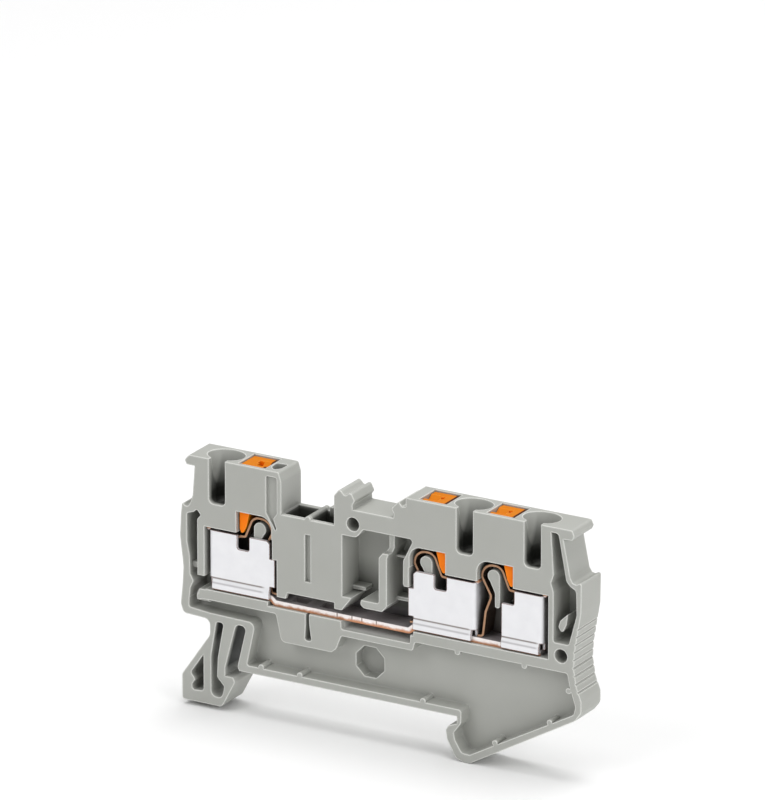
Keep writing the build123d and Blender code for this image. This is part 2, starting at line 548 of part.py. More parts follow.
def leaf_spring(entry, side):
    """A leaf spring: a contact leg, a loop around its post, and a clamping leg."""
    seat = FLOOR_TOP + BAR_RISE + BAR_THICK
    crown = CHAMBER_TOP - 0.7
    loop = -LOOP_IN
    foot = [(loop - 0.7, seat + LEAF / 2), (loop + 0.12, seat + LEAF / 2 + 0.07, 0.45),
            (loop + 0.33, seat + 1.9, 1.5), (loop + 0.55, seat + 3.7, 1.0), (loop + 1.4, seat + 5.95, 0.8),
            (loop, CAGE_TOP + 0.9, 0.6)]
    arch = [(loop, crown, 1.7), (loop + 2.87, crown, 1.3), (loop + 4.08, CAGE_TOP - 0.2, 0.35)]
    leg = [(-BUTTON_EDGE + 0.05, CAGE_TOP - 0.27, 0.5), (0.85, CAGE_TOP - 2.75)]
    y_mid = CAGE_FRONT + CAGE_DEEP / 2
    return prism(mirrored(band(foot + arch + leg, LEAF), entry, side), y_mid - LEAF_WIDE / 2, y_mid + LEAF_WIDE / 2)


def current_bar():
    """The flat bar that joins the three clamping points, lower in its middle, with two bridge holes."""
    y0, y1 = BAR_FRONT, BAR_FRONT + BAR_DEEP
    low = FLOOR_TOP + BAR_THICK / 2
    high = low + BAR_RISE
    left = ENTRY_LEFT + CAGE_FOOT_IN
    right = ENTRY_MIDDLE - CAGE_FOOT_IN
    path = [(ENTRY_LEFT - CAGE_OUT + 0.5, high), (left - 0.7, high, 0.5), (left, low, 0.5),
            (right, low, 0.5), (right + 0.7, high, 0.5), (ENTRY_RIGHT + CAGE_OUT - 0.5, high)]
    bar = prism(band(path, BAR_THICK), y0, y1)
    middle = (SHAFT_LEFT + SHAFT_RIGHT) / 2
    for x in (middle - 2.2, middle + 2.2):
        bar -= block(x - 1.2, x + 1.2, y0 + 0.9, y1 - 0.9, 0, TOP)
    return bar


def save(shape, name):
    """One file for each piece, named after it."""
    export_step(shape, f"parts/{name}.step")


os.makedirs("parts", exist_ok=True)
save(housing(), "housing")
save(current_bar(), "current_bar")
for name, entry, side in clamps():
    save(button(entry, side), f"push_button_{name}")
    save(cage(name, entry, side), f"clamp_cage_{name}")
    save(leaf_spring(entry, side), f"leaf_spring_{name}")
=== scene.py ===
import math

import bmesh
import bpy
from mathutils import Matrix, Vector


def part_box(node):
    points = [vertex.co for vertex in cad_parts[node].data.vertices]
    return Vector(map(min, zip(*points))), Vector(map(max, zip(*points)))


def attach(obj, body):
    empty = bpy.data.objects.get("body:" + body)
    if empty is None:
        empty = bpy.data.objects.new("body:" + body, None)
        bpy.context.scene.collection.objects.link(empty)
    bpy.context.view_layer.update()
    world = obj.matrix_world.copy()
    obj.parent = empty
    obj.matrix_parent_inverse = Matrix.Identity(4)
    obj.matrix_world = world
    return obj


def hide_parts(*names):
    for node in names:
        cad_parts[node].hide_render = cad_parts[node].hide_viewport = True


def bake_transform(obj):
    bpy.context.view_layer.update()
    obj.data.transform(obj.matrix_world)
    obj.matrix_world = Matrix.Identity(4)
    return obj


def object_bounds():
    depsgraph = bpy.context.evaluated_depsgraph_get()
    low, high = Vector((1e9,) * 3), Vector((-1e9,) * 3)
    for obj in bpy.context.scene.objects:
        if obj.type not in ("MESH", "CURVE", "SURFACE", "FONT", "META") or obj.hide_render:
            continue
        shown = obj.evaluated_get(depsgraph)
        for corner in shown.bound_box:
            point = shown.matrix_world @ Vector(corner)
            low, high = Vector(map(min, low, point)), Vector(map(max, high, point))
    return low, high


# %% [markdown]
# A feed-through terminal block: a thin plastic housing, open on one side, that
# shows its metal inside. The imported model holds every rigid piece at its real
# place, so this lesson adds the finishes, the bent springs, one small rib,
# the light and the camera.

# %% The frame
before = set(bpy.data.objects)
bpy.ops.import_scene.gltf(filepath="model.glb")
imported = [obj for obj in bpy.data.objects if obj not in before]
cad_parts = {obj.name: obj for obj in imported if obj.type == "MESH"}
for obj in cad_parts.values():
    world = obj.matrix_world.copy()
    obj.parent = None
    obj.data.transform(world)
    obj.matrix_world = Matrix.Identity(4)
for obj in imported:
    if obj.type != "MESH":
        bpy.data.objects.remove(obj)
CAD_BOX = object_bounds()
MM = 0.001


def mm(*lengths):
    """Lengths in millimetres as metres, the unit of the scene."""
    return [length * MM for length in lengths]


print("nodes:", sorted(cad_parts))

# %% [markdown]
# Colours are written as sRGB hex values, as a designer notes them from a
# colour card. Shaders work in linear light, so one function turns them. A
# material could be wired by hand in the editor, but a script can be read,
# repeated and corrected, so a second function adds one node at a time.


# %% Colours and node helper
def linear(hex_colour):
    """An sRGB hex value such as "B0B1AB" as linear red, green, blue and full cover."""
    parts = [int(hex_colour[i:i + 2], 16) / 255 for i in (0, 2, 4)]
    return [c / 12.92 if c <= 0.04045 else ((c + 0.055) / 1.055) ** 2.4 for c in parts] + [1.0]


def add(tree, kind, settings=None, links=None):
    """Adds one node, sets its properties and sockets, and links sockets to other outputs."""
    node = tree.nodes.new(kind)
    for key, value in (settings or {}).items():
        if isinstance(key, str) and hasattr(node, key):
            setattr(node, key, value)
        else:
            node.inputs[key].default_value = value
    for key, source in (links or {}).items():
        tree.links.new(source, node.inputs[key])
    return node


def new_material(name):
    """An empty material with its tree, its principled shader and the object coordinates."""
    material = bpy.data.materials.new(name)
    material.use_nodes = True
    tree = material.node_tree
    shader = tree.nodes["Principled BSDF"]
    place = add(tree, "ShaderNodeTexCoord").outputs["Object"]
    return material, tree, shader, place


print("mid grey in linear light:", [round(c, 3) for c in linear("808080")])

# %% [markdown]
# The finishes change with the place on the block: tin here, bare copper there,
# a darker wall behind. Painted images could say so, but they would tie the
# picture to one mesh. A mask is a number from 0 to 1 worked out from the
# coordinates of each point, so it is as sharp as it needs to be and its limits
# are real sizes.

# %% Masks by place
SIDE_TURN = (0.7, 0.8)


def mask(tree, *ramps):
    """The product of ramps, each given as a value, where it counts 0 and where it counts 1."""
    total = None
    for value, zero, one in ramps:
        rise = add(tree, "ShaderNodeMapRange", {"From Min": zero, "From Max": one}, {"Value": value})
        if total is None:
            total = rise.outputs["Result"]
        else:
            product = add(tree, "ShaderNodeMath", {"operation": "MULTIPLY"},
                          {0: total, 1: rise.outputs["Result"]})
            total = product.outputs["Value"]
    return total


def near_places(tree, coordinate, places, inner, outer):
    """1 within inner of any of the places along a coordinate, fading to 0 at outer."""
    total = None
    for place in places:
        apart = add(tree, "ShaderNodeMath", {"operation": "SUBTRACT", 1: place}, {0: coordinate})
        size = add(tree, "ShaderNodeMath", {"operation": "ABSOLUTE"}, {0: apart.outputs["Value"]})
        hit = mask(tree, (size.outputs["Value"], outer, inner))
        if total is None:
            total = hit
        else:
            larger = add(tree, "ShaderNodeMath", {"operation": "MAXIMUM"}, {0: total, 1: hit})
            total = larger.outputs["Value"]
    return total


def facing_side(tree):
    """1 on faces that look to the open or the closed side, 0 on the ones square to them."""
    normal = add(tree, "ShaderNodeTexCoord").outputs["Normal"]
    turned = add(tree, "ShaderNodeSeparateXYZ", {}, {"Vector": normal}).outputs["Y"]
    size = add(tree, "ShaderNodeMath", {"operation": "ABSOLUTE"}, {0: turned})
    return mask(tree, (size.outputs["Value"], *SIDE_TURN))


def blend_colours(tree, factor, first, second):
    """The first colour where the factor is 0, the second where it is 1: hex values or sockets."""
    node = add(tree, "ShaderNodeMix", {"data_type": "RGBA"}, {"Factor": factor})
    for socket, colour in ((node.inputs[6], first), (node.inputs[7], second)):
        if isinstance(colour, str):
            socket.default_value = linear(colour)
        else:
            tree.links.new(colour, socket)
    return node.outputs[2]


print("a face looks sideways when its normal is within",
      round(math.degrees(math.acos(SIDE_TURN[1]))), "degrees of that side")

# %% [markdown]
# Every real edge is a little round, and on this block the rounding catches the
# light as a thin bright line. Rounding the mesh itself would cost thousands of
# faces, so the bevel node asks how the normal would turn within a given
# distance of each point. Where it turns, the point is on an edge. The same
# mask then places a painted highlight, a paler colour, on the edges of plastic,
# and the bare cut edges of plated sheet, whose dark outline is partly painted
# shade. Inner corners turn the normal too, so the ambient occlusion node, which
# tells how open a point is, takes them out. It also finds narrow hollows, which
# the materials paint darker as painted shade.

# %% Edges and hollows
SAMPLES = 8
OUTER_CORNER = (0.7, 0.9)
HOLLOW_OPEN = (0.25, 0.62)


def edge_mask(tree, reach, edge_cosine, flat_cosine):
    """1 on an outer edge and 0 away from it, and the rounded normal beside it."""
    bevel = add(tree, "ShaderNodeBevel", {"samples": SAMPLES, "Radius": reach})
    flat = add(tree, "ShaderNodeNewGeometry").outputs["Normal"]
    alike = add(tree, "ShaderNodeVectorMath", {"operation": "DOT_PRODUCT"},
                {0: bevel.outputs["Normal"], 1: flat})
    openness = add(tree, "ShaderNodeAmbientOcclusion", {"samples": SAMPLES, "Distance": reach})
    edge = mask(tree, (alike.outputs["Value"], flat_cosine, edge_cosine),
                (openness.outputs["AO"], *OUTER_CORNER))
    return edge, bevel.outputs["Normal"]


def hollow_shade(tree, reach, darkest):
    """1 on open faces, falling to the darkest value deep in narrow hollows."""
    openness = add(tree, "ShaderNodeAmbientOcclusion", {"samples": SAMPLES, "Distance": reach})
    shade = add(tree, "ShaderNodeMapRange",
                {"From Min": HOLLOW_OPEN[0], "From Max": HOLLOW_OPEN[1], "To Min": darkest},
                {"Value": openness.outputs["AO"]})
    return shade.outputs["Result"]


print("samples for each edge and hollow:", SAMPLES)

# %% [markdown]
# Some walls of the housing get far less light than the rest. The wire entries
# have light at the top and almost none at the bottom, where the bore goes on
# down to the clamp. The two bridge shafts and the slots beside the latch arm
# are dark too. The back walls of the chambers darken towards the current bar,
# and under the bar its bright edge lights the wall. Soft light alone leaves
# such depths too pale, so each is painted into the material as a zone, a box
# with soft limits: painted shade in the depths and painted reflected light
# under the bar. The outer faces keep their tone.

# %% Painted shade and light zones of the housing
INSIDE = (0.2, 0.9, 4.998, 5.1)
BACK_WALL = (4.2, 4.35, 4.998, 5.1)
CHAMBERS = ((4.6,), 5.6, 5.88)
# A zone has a colour, its middles along the block with their half width and where it has faded, and
# a band of depth and one of height, in millimetres. A band rises between its first two limits
# and falls between its last two.
# The first zone is painted light on the wall under the bar; the others are painted shade: the
# chamber back walls, the strip behind the bar, the bridge shaft and the wire entries.
ZONES = [
    ("D6D7D2", CHAMBERS, INSIDE, (8.3, 8.5, 9.9, 10.0)),
    ("5C5D57", CHAMBERS, BACK_WALL, (10.0, 10.2, 13.0, 18.0)),
    ("6E6B6C", CHAMBERS, BACK_WALL, (10.0, 10.2, 11.5, 12.0)),
    ("3E3F3A", ((-4.9,), 4.0, 4.08), (0.6, 0.7, 4.4, 4.6), (16.0, 17.0, 22.6, 24.0)),
    ("2C2D29", ((-18.75, 18.75, 28.87), 1.5, 1.8), INSIDE, (21.5, 22.5, 24.0, 28.8)),
]
# Painted shade on the walls of the slots beside the latch arm.
LATCH_SLOTS = ("20231F", ((-17.3,), 2.0, 2.2), INSIDE, (-1.0, 0.2, 6.8, 7.2))


def zone_mask(tree, part, zone):
    """1 inside a zone and 0 outside it."""
    _, (middles, half, faded), depth, height = zone
    along = near_places(tree, part["X"], mm(*middles), half * MM, faded * MM)
    ramps = [(along, 0.0, 1.0)]
    for axis, limits in (("Y", depth), ("Z", height)):
        low, full, still, high = mm(*limits)
        ramps += [(part[axis], low, full), (part[axis], high, still)]
    return mask(tree, *ramps)


print("zones of the housing:", len(ZONES) + 1)

# %% [markdown]
# The housing is moulded polyamide, light warm grey. Its tool is spark-eroded,
# which leaves a fine satin grain of about a tenth of a millimetre: broad soft
# highlights, no mirror image. Displacing the mesh so finely would take millions
# of faces, so the grain is a bump. A slow change of tone, a few millimetres
# wide, is the flow of the melt. The edges are painted a shade paler than the
# faces, a painted highlight where their rounding catches the light, and narrow
# hollows, where little light gets in and out, are painted darker as painted shade.

# %% Moulded polyamide, for the housing
GRAIN = 0.12 * MM
FLOW = 6 * MM
PLASTIC_EDGE = 0.3 * MM
PLASTIC_TURN = (0.93, 0.998)
HOLLOW, HOLLOW_DARKEST = 3 * MM, 0.85
GRAIN_HEIGHT, GRAIN_STRENGTH = 0.02 * MM, 0.12


def steer_roughness(tree, shader, pattern, smooth, rough):
    """Lets a pattern move the roughness between two values."""
    spread = add(tree, "ShaderNodeMapRange", {"To Min": smooth, "To Max": rough}, {"Value": pattern})
    tree.links.new(spread.outputs["Result"], shader.inputs["Roughness"])


def moulded_polyamide():
    """The grey of the housing, its painted shade and light zones, its painted edge highlights and
    its satin grain.
    """
    material, tree, shader, place = new_material("moulded_polyamide_light_grey")
    flow = add(tree, "ShaderNodeTexNoise", {"Scale": 1 / FLOW, "Detail": 2.0}, {"Vector": place})
    body = blend_colours(tree, flow.outputs["Fac"], "A6A7A1", "AEAFAA")
    # Painted shade: narrow hollows are darkened in the colour.
    shaded = blend_colours(tree, hollow_shade(tree, HOLLOW, HOLLOW_DARKEST), "3C3D38", body)
    edge, round_normal = edge_mask(tree, PLASTIC_EDGE, *PLASTIC_TURN)
    # Painted highlight: the outer edges are painted paler.
    colour = blend_colours(tree, edge, shaded, "E0E1DC")
    part = add(tree, "ShaderNodeSeparateXYZ", {}, {"Vector": place}).outputs
    # Painted shade in the dark zones and painted light under the bar.
    for zone in ZONES:
        colour = blend_colours(tree, zone_mask(tree, part, zone), colour, zone[0])
    # Painted shade on the slot walls beside the latch arm.
    slot_walls = mask(tree, (zone_mask(tree, part, LATCH_SLOTS), 0.0, 1.0),
                      (facing_side(tree), 1.0, 0.0))
    colour = blend_colours(tree, slot_walls, colour, LATCH_SLOTS[0])
    tree.links.new(colour, shader.inputs["Base Color"])
    grain = add(tree, "ShaderNodeTexNoise", {"Scale": 1 / GRAIN, "Detail": 3.0}, {"Vector": place})
    steer_roughness(tree, shader, grain.outputs["Fac"], 0.44, 0.58)
    bump = add(tree, "ShaderNodeBump", {"Strength": GRAIN_STRENGTH, "Distance": GRAIN_HEIGHT},
               {"Height": grain.outputs["Fac"], "Normal": round_normal})
    tree.links.new(bump.outputs["Normal"], shader.inputs["Normal"])
    shader.inputs["IOR"].default_value = 1.53
    shader.inputs["Specular IOR Level"].default_value = 0.4
    return material


FINISHES = {"housing": moulded_polyamide()}
print(FINISHES["housing"].name, len(FINISHES["housing"].node_tree.nodes), "nodes")

# %% [markdown]
# The push buttons are a bright orange moulding, a little glossier than the
# housing. A saturated orange scatters light inside, so a small subsurface
# share keeps its shaded sides from going brown. The flanks and the top are two
# painted tones of one orange: painted light on the flanks, and a darker tone on
# the top, which faces the strongest lamp. The edges carry a paler painted
# highlight. A dark strip along its right-hand end is a painted shadow. Two
# materials could part the top from the flanks,
# but one that asks where a face looks needs no marking of faces.

# %% Moulded orange plastic, for the push buttons
BUTTON_ENDS = [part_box("push_button_" + side)[1][0] for side in ("left", "middle", "right")]
# Width and height of the painted shadow along the right-hand end of each button top.
END_SHADE_WIDE, END_SHADE_FADED = 0.58 * MM, 0.667 * MM
END_SHADE_BELOW, END_SHADE_ABOVE = mm(27.5, 28.0)
TONE_PATCH = 1.5 * MM
BUTTON_EDGE = 0.15 * MM


def moulded_orange():
    """The orange of the buttons, painted brighter on the flanks, with a painted shadow along one
    end.
    """
    material, tree, shader, place = new_material("moulded_orange_plastic")
    flow = add(tree, "ShaderNodeTexNoise", {"Scale": 1 / TONE_PATCH, "Detail": 2.0},
               {"Vector": place})
    # Painted light: the top and the flanks are a darker and a brighter tone of one orange.
    top = blend_colours(tree, flow.outputs["Fac"], "CE7404", "D87D0A")
    flank = blend_colours(tree, flow.outputs["Fac"], "FF7A00", "FF8604")
    body = blend_colours(tree, facing_side(tree), top, flank)
    edge, round_normal = edge_mask(tree, BUTTON_EDGE, *PLASTIC_TURN)
    # Painted highlight along the edges.
    paler = blend_colours(tree, edge, body, "FF9A30")
    part = add(tree, "ShaderNodeSeparateXYZ", {}, {"Vector": place}).outputs
    # Painted shadow along the right-hand end of each button top.
    at_end = near_places(tree, part["X"], BUTTON_ENDS, END_SHADE_WIDE, END_SHADE_FADED)
    end_shade = mask(tree, (at_end, 0.0, 1.0), (part["Z"], END_SHADE_BELOW, END_SHADE_ABOVE))
    tree.links.new(blend_colours(tree, end_shade, paler, "4A230A"), shader.inputs["Base Color"])
    tree.links.new(round_normal, shader.inputs["Normal"])
    grain = add(tree, "ShaderNodeTexNoise", {"Scale": 1 / GRAIN, "Detail": 2.0}, {"Vector": place})
    steer_roughness(tree, shader, grain.outputs["Fac"], 0.4, 0.52)
    shader.inputs["IOR"].default_value = 1.5
    shader.inputs["Specular IOR Level"].default_value = 0.15
    shader.inputs["Subsurface Weight"].default_value = 0.08
    shader.inputs["Subsurface Radius"].default_value = mm(0.6, 0.25, 0.08)
    return material


FINISHES["push_button"] = moulded_orange()
print(FINISHES["push_button"].name, len(FINISHES["push_button"].node_tree.nodes), "nodes")

# %% [markdown]
# The cages are stamped from tin-plated sheet and then folded. Matt tin is
# nearly white and only half shiny, with faint patches a millimetre or two wide
# where the bath left it cloudier. The cut edges have no tin: they are brownish,
# and their dark outline is partly painted shade of the gaps beside them. The
# rolled bead at the top of the outer side, above the first height of BEAD, shows
# bare copper. Where the tool pressed the sheet forward over the bar, the front
# is folded twice: a painted shade line at the upper fold and a painted highlight
# line at the lower one cross the front, and both fade out before the right
# corner. They are too fine for the mesh, so they are drawn. Deep inside the block
# the tin is painted darker: painted shade.

# %% Tin-plated sheet, for the clamp cages
BEAD = mm(18.96, 19.06)
CREASE, CREASE_LINE = mm(12.35), mm(0.02, 0.16)
HEM, HEM_LINE = mm(11.72), mm(0.02, 0.2)
CORNERS, CORNER_FADE = mm(-11.1, 20.2, 30.3), mm(0.5, 1.1)
FRONT_SHEET = mm(0.7, 0.63)
DEEP = mm(1.2, 3.0)
CLOUD = 1.8 * MM
SHEET_HOLLOW, SHEET_DARKEST = 2.0 * MM, 0.1
CUT_EDGE, CUT_TURN = 0.17 * MM, (0.88, 0.995)
CLOUD_HEIGHT, CLOUD_STRENGTH = 0.03 * MM, 0.1


def tinned_sheet():
    """The clouded tin of the cages, with painted fold lines, painted shade, cut edges and bare bead.
    """
    material, tree, shader, place = new_material("tin_plated_sheet")
    cloud = add(tree, "ShaderNodeTexNoise", {"Scale": 1 / CLOUD, "Detail": 4.0}, {"Vector": place})
    tin = blend_colours(tree, cloud.outputs["Fac"], "E6E6E9", "F4F4F6")
    part = add(tree, "ShaderNodeSeparateXYZ", {}, {"Vector": place}).outputs
    front = mask(tree, (part["Y"], *FRONT_SHEET),
                 (near_places(tree, part["X"], CORNERS, *CORNER_FADE), 1.0, 0.0))
    folded = tin
    # The crease is a painted shade line and the hem a painted highlight line.
    for height, line, tone in ((CREASE, CREASE_LINE, "857B77"), (HEM, HEM_LINE, "C2C0C3")):
        drawn = mask(tree, (front, 0.0, 1.0),
                     (near_places(tree, part["Z"], height, *line), 0.0, 1.0))
        folded = blend_colours(tree, drawn, folded, tone)
    # Painted shade: darker deeper inside the block and in narrow hollows.
    inside = blend_colours(tree, mask(tree, (part["Y"], *DEEP)), folded, "66635F")
    dark = blend_colours(tree, hollow_shade(tree, SHEET_HOLLOW, SHEET_DARKEST), "4A4340", inside)
    # Cut edges: bare brownish metal, darkened by painted shade of the gaps beside them.
    edge, round_normal = edge_mask(tree, CUT_EDGE, *CUT_TURN)
    cut = blend_colours(tree, edge, dark, "7D4A36")
    bare = blend_colours(tree, mask(tree, (part["Z"], *BEAD)), cut, "B98867")
    tree.links.new(bare, shader.inputs["Base Color"])
    steer_roughness(tree, shader, cloud.outputs["Fac"], 0.4, 0.62)
    bump = add(tree, "ShaderNodeBump", {"Strength": CLOUD_STRENGTH, "Distance": CLOUD_HEIGHT},
               {"Height": cloud.outputs["Fac"], "Normal": round_normal})
    tree.links.new(bump.outputs["Normal"], shader.inputs["Normal"])
    shader.inputs["Metallic"].default_value = 0.35
    return material


FINISHES["clamp_cage"] = tinned_sheet()
print(FINISHES["clamp_cage"].name, len(FINISHES["clamp_cage"].node_tree.nodes), "nodes")

# %% [markdown]
# The springs are rolled strip, with fine rolling lines along the strip. The
# real lines are finer than the picture can show, so they are drawn 0.15 mm wide:
# a noise pattern, stretched along the strip. The wide faces are painted dark
# brown, painted shade where they look sideways deep in the block, and the
# sheared edges, which face the open side, are painted bright and bronze toned
# as painted light.

# %% Hardened spring strip, for the leaf springs
ROLLING_LINE, ALONG_STRIP = 0.15 * MM, 0.15
SHEAR_ROUND = 0.08 * MM


def spring_strip():
    """The springs with painted shade on their brown faces and painted light on their bronze sheared
    edges.
    """
    material, tree, shader, place = new_material("hardened_spring_strip")
    stretch = add(tree, "ShaderNodeMapping", {"Scale": (ALONG_STRIP, 1.0, ALONG_STRIP)},
                  {"Vector": place})
    lines = add(tree, "ShaderNodeTexNoise", {"Scale": 1 / ROLLING_LINE, "Detail": 2.0},
                {"Vector": stretch.outputs["Vector"]})
    face = blend_colours(tree, lines.outputs["Fac"], "43362F", "6B574A")
    cut = blend_colours(tree, lines.outputs["Fac"], "9A7458", "BD977A")
    # Painted shade on the sideways faces, painted light on the edges that face the open side.
    tree.links.new(blend_colours(tree, facing_side(tree), face, cut), shader.inputs["Base Color"])
    bevel = add(tree, "ShaderNodeBevel", {"samples": SAMPLES, "Radius": SHEAR_ROUND})
    tree.links.new(bevel.outputs["Normal"], shader.inputs["Normal"])
    shader.inputs["Metallic"].default_value = 0.85
    shader.inputs["Roughness"].default_value = 0.42
    return material


FINISHES["leaf_spring"] = spring_strip()
print(FINISHES["leaf_spring"].name, len(FINISHES["leaf_spring"].node_tree.nodes), "nodes")

# %% [markdown]
# The current bar is copper, tinned all over before it is stamped, so its faces
# are silvery and its sheared edge goes from tin at the top to bare copper at
# the bottom, where the punch tore it. A few nicks of the tool cross that edge.
# The flat top lies in the shade of the housing, so it and the other faces away
# from the sheared edge are painted a darker grey than the tin: painted shade. The
# bar steps down between the clamping points. A torn line at one height would
# leave the edge there, so the height above the underside is measured from a line
# that steps with the bar, and noise makes it ragged.

# %% Tinned copper, for the current bar
BAR_LOW, BAR_STEP = mm(10.0, 0.6)
STEP_NEAR, STEP_FAR = mm(10.15, 10.85)
SHEARED_FACE = mm(0.55, 0.5335)
NICKS, NICK_LINE = mm(-0.75, 1.5, 3.0, 5.2), mm(0.03, 0.12)
TEAR_PATCH, TEAR_DEPTH = mm(0.7, 0.5)
TORN = mm(0.72, 0.42)
STREAK, ALONG_BAR = 0.2 * MM, 0.1


def tinned_copper():
    """Tin over copper, torn bare along the lower part of the sheared edge."""
    material, tree, shader, place = new_material("tinned_copper")
    part = add(tree, "ShaderNodeSeparateXYZ", {}, {"Vector": place}).outputs
    aside = add(tree, "ShaderNodeMath", {"operation": "ABSOLUTE"}, {0: part["X"]})
    under = add(tree, "ShaderNodeMapRange",
                {"From Min": STEP_NEAR, "From Max": STEP_FAR,
                 "To Min": BAR_LOW, "To Max": BAR_LOW + BAR_STEP},
                {"Value": aside.outputs["Value"]})
    above = add(tree, "ShaderNodeMath", {"operation": "SUBTRACT"},
                {0: part["Z"], 1: under.outputs["Result"]})
    cloud = add(tree, "ShaderNodeTexNoise", {"Scale": 1 / TEAR_PATCH, "Detail": 3.0},
                {"Vector": place})
    jagged = add(tree, "ShaderNodeMath", {"operation": "MULTIPLY_ADD", 1: TEAR_DEPTH},
                 {0: cloud.outputs["Fac"], 2: above.outputs["Value"]})
    tin = blend_colours(tree, cloud.outputs["Fac"], "F0E4E0", "FFFCFA")
    nicks = near_places(tree, part["X"], NICKS, *NICK_LINE)
    nicked = blend_colours(tree, nicks, tin, "8A7368")
    torn = mask(tree, (jagged.outputs["Value"], *TORN))
    sheared = blend_colours(tree, torn, nicked, "C58A66")
    stretch = add(tree, "ShaderNodeMapping", {"Scale": (ALONG_BAR, 1.0, 1.0)}, {"Vector": place})
    lines = add(tree, "ShaderNodeTexNoise", {"Scale": 1 / STREAK, "Detail": 2.0},
                {"Vector": stretch.outputs["Vector"]})
    # Painted shade: the faces away from the sheared edge are painted a darker grey than the tin.
    shaded_faces = blend_colours(tree, lines.outputs["Fac"], "8F8789", "BFB8BA")
    edge_only = mask(tree, (part["Y"], *SHEARED_FACE))
    tree.links.new(blend_colours(tree, edge_only, shaded_faces, sheared), shader.inputs["Base Color"])
    shader.inputs["Metallic"].default_value = 0.45
    shader.inputs["Roughness"].default_value = 0.4
    return material


FINISHES["current_bar"] = tinned_copper()
print(FINISHES["current_bar"].name, len(FINISHES["current_bar"].node_tree.nodes), "nodes")

# %% [markdown]
# Every rigid piece of the block is moulded or stamped to its real shape in the
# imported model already. Modelling it again would only risk its sizes, so each
# piece keeps its mesh and wears the finish whose name its own name starts with.

# %% Finishes on the rigid pieces
for name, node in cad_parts.items():
    finish = next(f for start, f in FINISHES.items() if name.startswith(start))
    node.data.materials.clear()
    node.data.materials.append(finish)
    print(name, "wears", finish.name)

# %% [markdown]
# Each leaf spring is one strip bent along a path: a foot on the bar, a leg, a
# loop round its post, and the clamping leg that the button pushes down. The
# solid springs of the imported model are rigid; they are hidden, and these take
# their place. The path could be a curve drawn by hand, but as a short
# list of corners with their bend radii it can be read and corrected like a
# bending plan. The three springs share it, and the left one is its mirror image.

# %% The path of a spring
STRIP_THICK, STRIP_WIDE, STRIP_MIDDLE = mm(0.3, 2.6, 2.1)
# The middle of each wire entry, and the side of it that its button is not on.
ENTRIES = {"left": (-18.75 * MM, -1), "middle": (18.75 * MM, 1), "right": (28.87 * MM, 1)}
# Each corner in millimetres: its distance from the entry's middle, negative towards the button,
# its height and its radius.
BENDS = [(-8.65, 11.55, 0.0), (-7.83, 11.62, 0.45), (-7.62, 13.3, 1.5), (-7.4, 15.1, 1.0),
         (-6.55, 17.35, 0.8), (-7.95, 19.85, 0.6), (-7.95, 21.7, 1.7), (-5.08, 21.7, 1.3),
         (-3.87, 18.75, 0.35), (-3.05, 18.68, 0.5), (0.85, 16.2, 0.0)]
print("corners of a spring:", len(BENDS))

# %% [markdown]
# A shape that follows a path suits geometry nodes: the tree turns the line of
# corners into a curve, rounds each corner by its own radius, and sweeps the
# flat section of the strip along it. The section's sizes and the finish are
# inputs, so the tree would bend any other strip as well.

# %% The tree that bends a strip
CORNER_STEPS = 12


def strip_tree():
    """Rounds the corners of a line of points and sweeps a flat section along it."""
    tree = bpy.data.node_groups.new("bent_strip", "GeometryNodeTree")
    for label, kind in (("Line", "Geometry"), ("Width", "Float"), ("Thickness", "Float"),
                        ("Finish", "Material")):
        tree.interface.new_socket(label, in_out="INPUT", socket_type="NodeSocket" + kind)
    tree.interface.new_socket("Strip", in_out="OUTPUT", socket_type="NodeSocketGeometry")
    given = add(tree, "NodeGroupInput").outputs
    radius = add(tree, "GeometryNodeInputNamedAttribute", {"data_type": "FLOAT", "Name": "bend"})
    line = add(tree, "GeometryNodeMeshToCurve", {}, {"Mesh": given["Line"]})
    rounded = add(tree, "GeometryNodeFilletCurve",
                  {"mode": "POLY", "Count": CORNER_STEPS, "Limit Radius": True},
                  {"Curve": line.outputs["Curve"], "Radius": radius.outputs["Attribute"]})
    section = add(tree, "GeometryNodeCurvePrimitiveQuadrilateral", {},
                  {"Width": given["Width"], "Height": given["Thickness"]})
    swept = add(tree, "GeometryNodeCurveToMesh", {"Fill Caps": True},
                {"Curve": rounded.outputs["Curve"], "Profile Curve": section.outputs["Curve"]})
    real = add(tree, "GeometryNodeRealizeInstances", {}, {"Geometry": swept.outputs["Mesh"]})
    worn = add(tree, "GeometryNodeSetMaterial", {},
               {"Geometry": real.outputs["Geometry"], "Material": given["Finish"]})
    add(tree, "NodeGroupOutput", {}, {"Strip": worn.outputs["Geometry"]})
    return tree


STRIP_TREE = strip_tree()
print("strip tree nodes:", len(STRIP_TREE.nodes))

# %% [markdown]
# A button that goes down pushes the clamping leg down, while the foot stays on
# the bar and the loop on its post. Bones or a blend between the two bodies across
# the loop could follow that, but here each spring is made once, at rest, as a
# plain mesh from the corners and the strip tree.

# %% The three springs
FOLD_ANGLE = math.radians(40)


